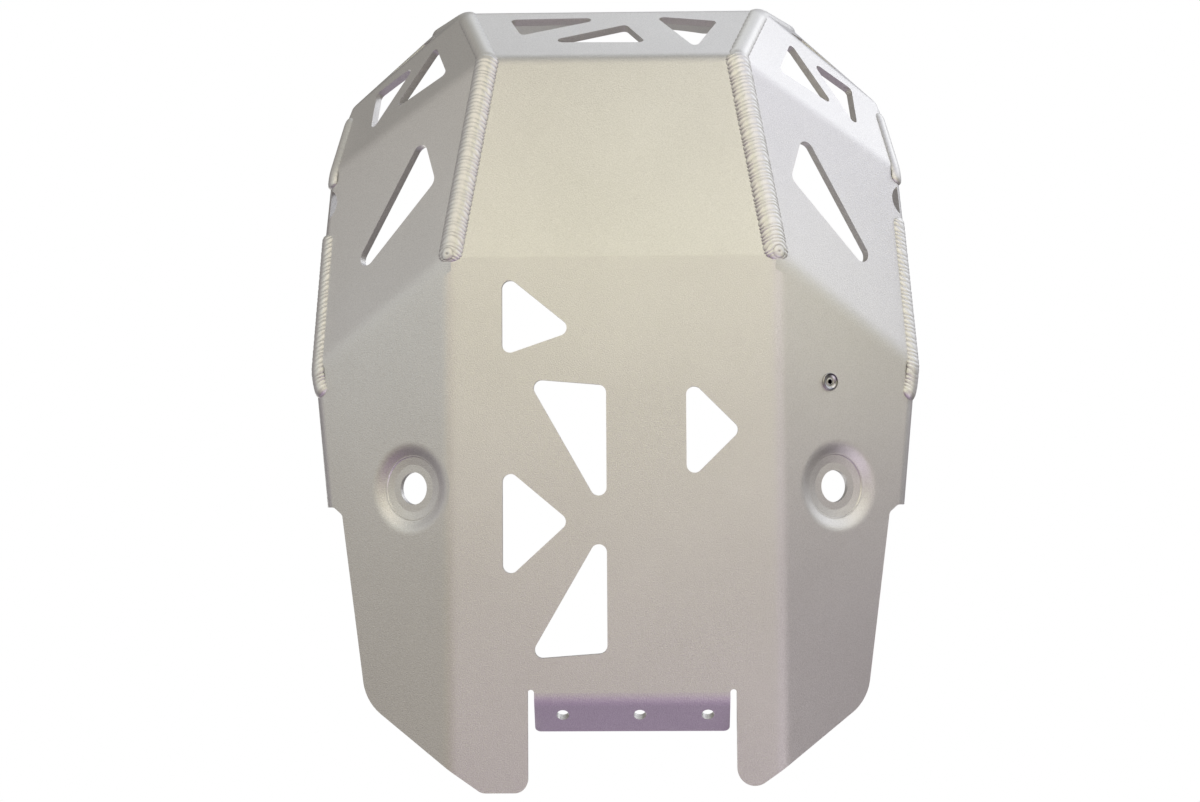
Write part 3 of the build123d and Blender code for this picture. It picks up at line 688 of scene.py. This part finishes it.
# Painted shade: the steep wall at the dish's edge is painted darker, and the bore nearly black.
RIVET_EDGE_PAINTED_SHADE = [0.35, 0.75, 0.85, 0.6, 0.2]
RIVET_SIDE = [(4.58, 1.34), (4.70, 1.10), (4.75, 0.60), (4.75, 0.04)]
RIVET_SEAT = [(4.70, 0.0), (2.42, -0.02), (2.40, -0.1)]
RIVET_TAIL = [
    (2.40, -3.95), (2.45, -4.02), (3.0, -4.05), (3.25, -4.35), (3.30, -5.0), (3.05, -6.2), (2.5, -7.2),
    (1.6, -7.8), (0.7, -8.0), (0.0, -8.0),
]
RIVET_BACK = RIVET_SIDE + RIVET_SEAT + RIVET_TAIL
RIVET_PROFILE = np.array(RIVET_BORE + RIVET_FACE + RIVET_DISH_EDGE + RIVET_BACK)
RIVET_PAINTED_SHADE = np.concatenate(
    [np.ones(len(RIVET_BORE)), np.zeros(len(RIVET_FACE)), RIVET_EDGE_PAINTED_SHADE, np.zeros(len(RIVET_BACK))]
)
RIVET_PLACE = wing_spot(31.6, 65.7)
RIVET_COLOUR = (0.50, 0.49, 0.48, 1.0)
RIVET_SHADE = (0.45, 0.44, 0.43, 1.0)
RIVET_ROUGHNESS = (0.18, 0.24)
RIVET_PEBBLE_SCALE = 2600.0
RIVET_PEBBLE_DEPTH = 0.000006
# Painted shade: the bore's colour, nearly black, stands for the shade deep in the hole.
BORE_PAINTED_SHADE = (0.01, 0.01, 0.01, 1.0)


def turned_mesh(name, profile, painted_shade, place, axis, count):
    """Profile of (radius, height) turned round an axis: place + r cos a X + r sin a Y + h axis.
    The two ends on the axis are closed with fans."""
    first = unit(np.cross(axis, [0.0, 1.0, 0.0]))
    second = np.cross(axis, first)
    angle = np.linspace(0.0, 2.0 * np.pi, count, endpoint=False)
    spokes = np.cos(angle)[:, None] * first + np.sin(angle)[:, None] * second
    rings = place + profile[1:-1, 0, None, None] * spokes + profile[1:-1, 1, None, None] * axis
    rows = len(rings)
    index = np.arange(rows * count).reshape(rows, count)
    after = np.roll(index, -1, axis=1)
    quads = np.stack([index[:-1], index[1:], after[1:], after[:-1]], axis=2).reshape(-1, 4)
    top, foot = rows * count, rows * count + 1
    top_fan = np.stack([np.full(count, top), index[0], after[0]], axis=1)
    foot_fan = np.stack([np.full(count, foot), after[-1], index[-1]], axis=1)
    faces = [*quads.tolist(), *top_fan.tolist(), *foot_fan.tolist()]
    verts = np.concatenate([rings.reshape(-1, 3), place + profile[[0, -1], 1, None] * axis])
    marks = np.concatenate([np.repeat(painted_shade[1:-1], count), painted_shade[[0, -1]]])
    return metal_mesh(name, verts, faces, marks)


rivet_metal = blasted_aluminium(
    "rivet_metal", RIVET_COLOUR, RIVET_SHADE, RIVET_ROUGHNESS, RIVET_PEBBLE_SCALE, RIVET_PEBBLE_DEPTH
)
paint_shade_in_hollows(rivet_metal, BORE_PAINTED_SHADE)
rivet_mesh = turned_mesh("rivet", RIVET_PROFILE, RIVET_PAINTED_SHADE, RIVET_PLACE, WING_NORMAL, count=72)
rivet = bpy.data.objects.new("rivet", rivet_mesh)
bpy.context.scene.collection.objects.link(rivet)
rivet_mesh.materials.append(rivet_metal)
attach(rivet, "root")
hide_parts("blind_rivet")

# The stage: a pale floor under the plate that shows only from above, soft white studio light all round,
# brightest toward the nose and the right, and a camera below the belly that looks up at the underside.
# Each glow is a direction, a sharpness and a colour.
GLOWS = (
    ((-0.6, -0.5, -0.62), 5.0, (0.65, 0.64, 0.61)),
    ((-0.7, 0.0, -0.7), 5.0, (0.15, 0.14, 0.04)),
    ((0.0, 0.6, -0.8), 5.0, (0.31, 0.18, 0.39)),
    ((0.0, 1.0, 0.0), 5.0, (0.25, 0.20, 0.30)),
    ((-1.0, 0.0, 0.0), 5.0, (0.36, 0.34, 0.39)),
    ((0.62, -0.55, 0.55), 5.0, (0.05, 0.06, 0.14)),
    ((-0.72, -0.6, 0.35), 12.0, (0.27, 0.26, 0.24)),
    ((0.0, -0.95, 0.3), 12.0, (1.12, 1.15, 1.22)),
    ((0.0, -0.8, -0.6), 20.0, (0.38, 0.38, 0.35)),
    ((0.0, 0.0, -1.0), 30.0, (0.76, 0.80, 0.62)),
    ((0.75, 0.0, -0.66), 20.0, (0.49, 0.41, 0.36)),
    ((0.5, 0.5, -0.7), 20.0, (1.60, 1.56, 1.64)),
    ((0.96, 0.1, 0.28), 8.0, (0.30, 0.28, 0.27)),
    ((0.72, -0.6, 0.35), 12.0, (1.75, 1.79, 1.86)),
    ((0.75, -0.55, -0.35), 12.0, (0.69, 0.70, 0.92)),
    ((0.0, 0.8, 0.6), 5.0, (0.30, 0.30, 0.30)),
    ((0.0, 0.0, 1.0), 2.0, (0.20, 0.19, 0.18)),
)
WHITE = (1.0, 1.0, 1.0, 1.0)
FLOOR_COLOUR = (0.92, 0.92, 0.92, 1.0)
FLOOR_GLOW = 0.50
FLOOR_ROUGHNESS = 0.9
FLOOR_REACH = 2.5
FLOOR_HEIGHT = -0.0015
world = bpy.data.worlds.new("studio")
bpy.context.scene.world = world
world.use_nodes = True
sky = world.node_tree
sky_way = sky.nodes.new("ShaderNodeTexCoord").outputs["Generated"]
sky_light = (0.0, 0.0, 0.0)
for toward, sharpness, glow in GLOWS:
    facing = vector(sky, "DOT_PRODUCT", sky_way, unit(np.array(toward)))
    soft_spot = number(sky, "POWER", number(sky, "MAXIMUM", facing, 0.0), sharpness)
    sky_light = vector(sky, "MULTIPLY_ADD", soft_spot, glow, sky_light)
rays = sky.nodes.new("ShaderNodeLightPath")
seen = number(sky, "MAXIMUM", rays.outputs["Is Camera Ray"], rays.outputs["Is Transmission Ray"])
feed(sky, sky.nodes["Background"].inputs["Color"], blended(sky, "RGBA", seen, sky_light, WHITE))

floor_mesh = bpy.data.meshes.new("floor")
floor_corners = np.array([(-1, -1), (1, -1), (1, 1), (-1, 1)]) * FLOOR_REACH
floor_verts = np.column_stack([floor_corners, np.full(4, FLOOR_HEIGHT)])
floor_mesh.from_pydata(floor_verts.tolist(), [], [(0, 1, 2, 3)])
floor = bpy.data.objects.new("floor", floor_mesh)
bpy.context.scene.collection.objects.link(floor)
floor_pale = bpy.data.materials.new("floor_pale")
floor_pale.use_nodes = True
floor_tree = floor_pale.node_tree
floor_shader = floor_tree.nodes["Principled BSDF"]
feed(floor_tree, floor_shader.inputs["Base Color"], FLOOR_COLOUR)
feed(floor_tree, floor_shader.inputs["Roughness"], FLOOR_ROUGHNESS)
feed(floor_tree, floor_shader.inputs["Specular IOR Level"], 0.0)
floor_glow = floor_tree.nodes.new("ShaderNodeEmission")
feed(floor_tree, floor_glow.inputs["Strength"], FLOOR_GLOW)
floor_sum = floor_tree.nodes.new("ShaderNodeAddShader")
feed(floor_tree, floor_sum.inputs[0], floor_shader.outputs[0])
feed(floor_tree, floor_sum.inputs[1], floor_glow.outputs[0])
floor_clear = floor_tree.nodes.new("ShaderNodeBsdfTransparent")
floor_side = floor_tree.nodes.new("ShaderNodeNewGeometry")
one_sided = floor_tree.nodes.new("ShaderNodeMixShader")
feed(floor_tree, one_sided.inputs[0], floor_side.outputs["Backfacing"])
feed(floor_tree, one_sided.inputs[1], floor_sum.outputs[0])
feed(floor_tree, one_sided.inputs[2], floor_clear.outputs[0])
feed(floor_tree, floor_tree.nodes["Material Output"].inputs["Surface"], one_sided.outputs[0])
floor_mesh.materials.append(floor_pale)
floor.visible_glossy = False
floor.visible_diffuse = False
floor.visible_shadow = False

LAMPS = (
    ("front_lamp", (0.0, -0.25, -0.75), (0.0, -0.15, 0.0), 0.4, 0.42, (0.97, 1.0, 0.62)),
    ("front_right_lamp", (0.40, -0.45, -0.55), (0.05, -0.02, 0.0), 0.5, 1.06, (1.0, 0.95, 0.89)),
    ("front_left_lamp", (-0.40, -0.45, -0.55), (-0.05, -0.02, 0.0), 0.5, 0.63, (1.0, 0.88, 0.79)),
    ("right_lamp", (0.42, -0.12, -0.145), (0.12, -0.02, 0.03), 0.25, 0.07, (0.95, 1.0, 0.45)),
    ("left_lamp", (-0.42, -0.12, -0.145), (-0.12, -0.02, 0.03), 0.25, 0.05, (0.6, 0.8, 1.0)),
    ("top_lamp", (-0.7, 0.5, 1.1), (0.0, 0.0, 0.0), 0.9, 3.0, (1.0, 1.0, 1.0)),
)
for name, place, aim, breadth, power, colour in LAMPS:
    lamp_data = bpy.data.lights.new(name, "AREA")
    lamp_data.size = breadth
    lamp_data.energy = power
    lamp_data.color = colour
    lamp = bpy.data.objects.new(name, lamp_data)
    turn = (Vector(aim) - Vector(place)).to_track_quat("-Z", "Y")
    lamp.matrix_world = Matrix.LocRotScale(Vector(place), turn, None)
    lamp.visible_camera = False
    bpy.context.scene.collection.objects.link(lamp)

CAMERA_PLACE = (0.0110, 0.0560, -0.9838)
CAMERA_LENS = 57.0
CAMERA_SENSOR = 36.0
camera_right = unit(np.array([0.9998, 0.0056, 0.0187]))
camera_down = np.array([-0.0065, 0.9988, 0.0472])
camera_down = unit(camera_down - camera_right * (camera_right @ camera_down))
camera_pose = np.eye(4)
camera_pose[:3, :3] = np.column_stack([camera_right, -camera_down, np.cross(camera_right, -camera_down)])
camera_pose[:3, 3] = CAMERA_PLACE
camera_data = bpy.data.cameras.new("camera")
camera_data.lens = CAMERA_LENS
camera_data.sensor_width = CAMERA_SENSOR
camera = bpy.data.objects.new("camera", camera_data)
camera.matrix_world = Matrix(camera_pose.tolist())
bpy.context.scene.collection.objects.link(camera)
bpy.context.scene.camera = camera
bpy.context.scene.view_settings.view_transform = "Standard"
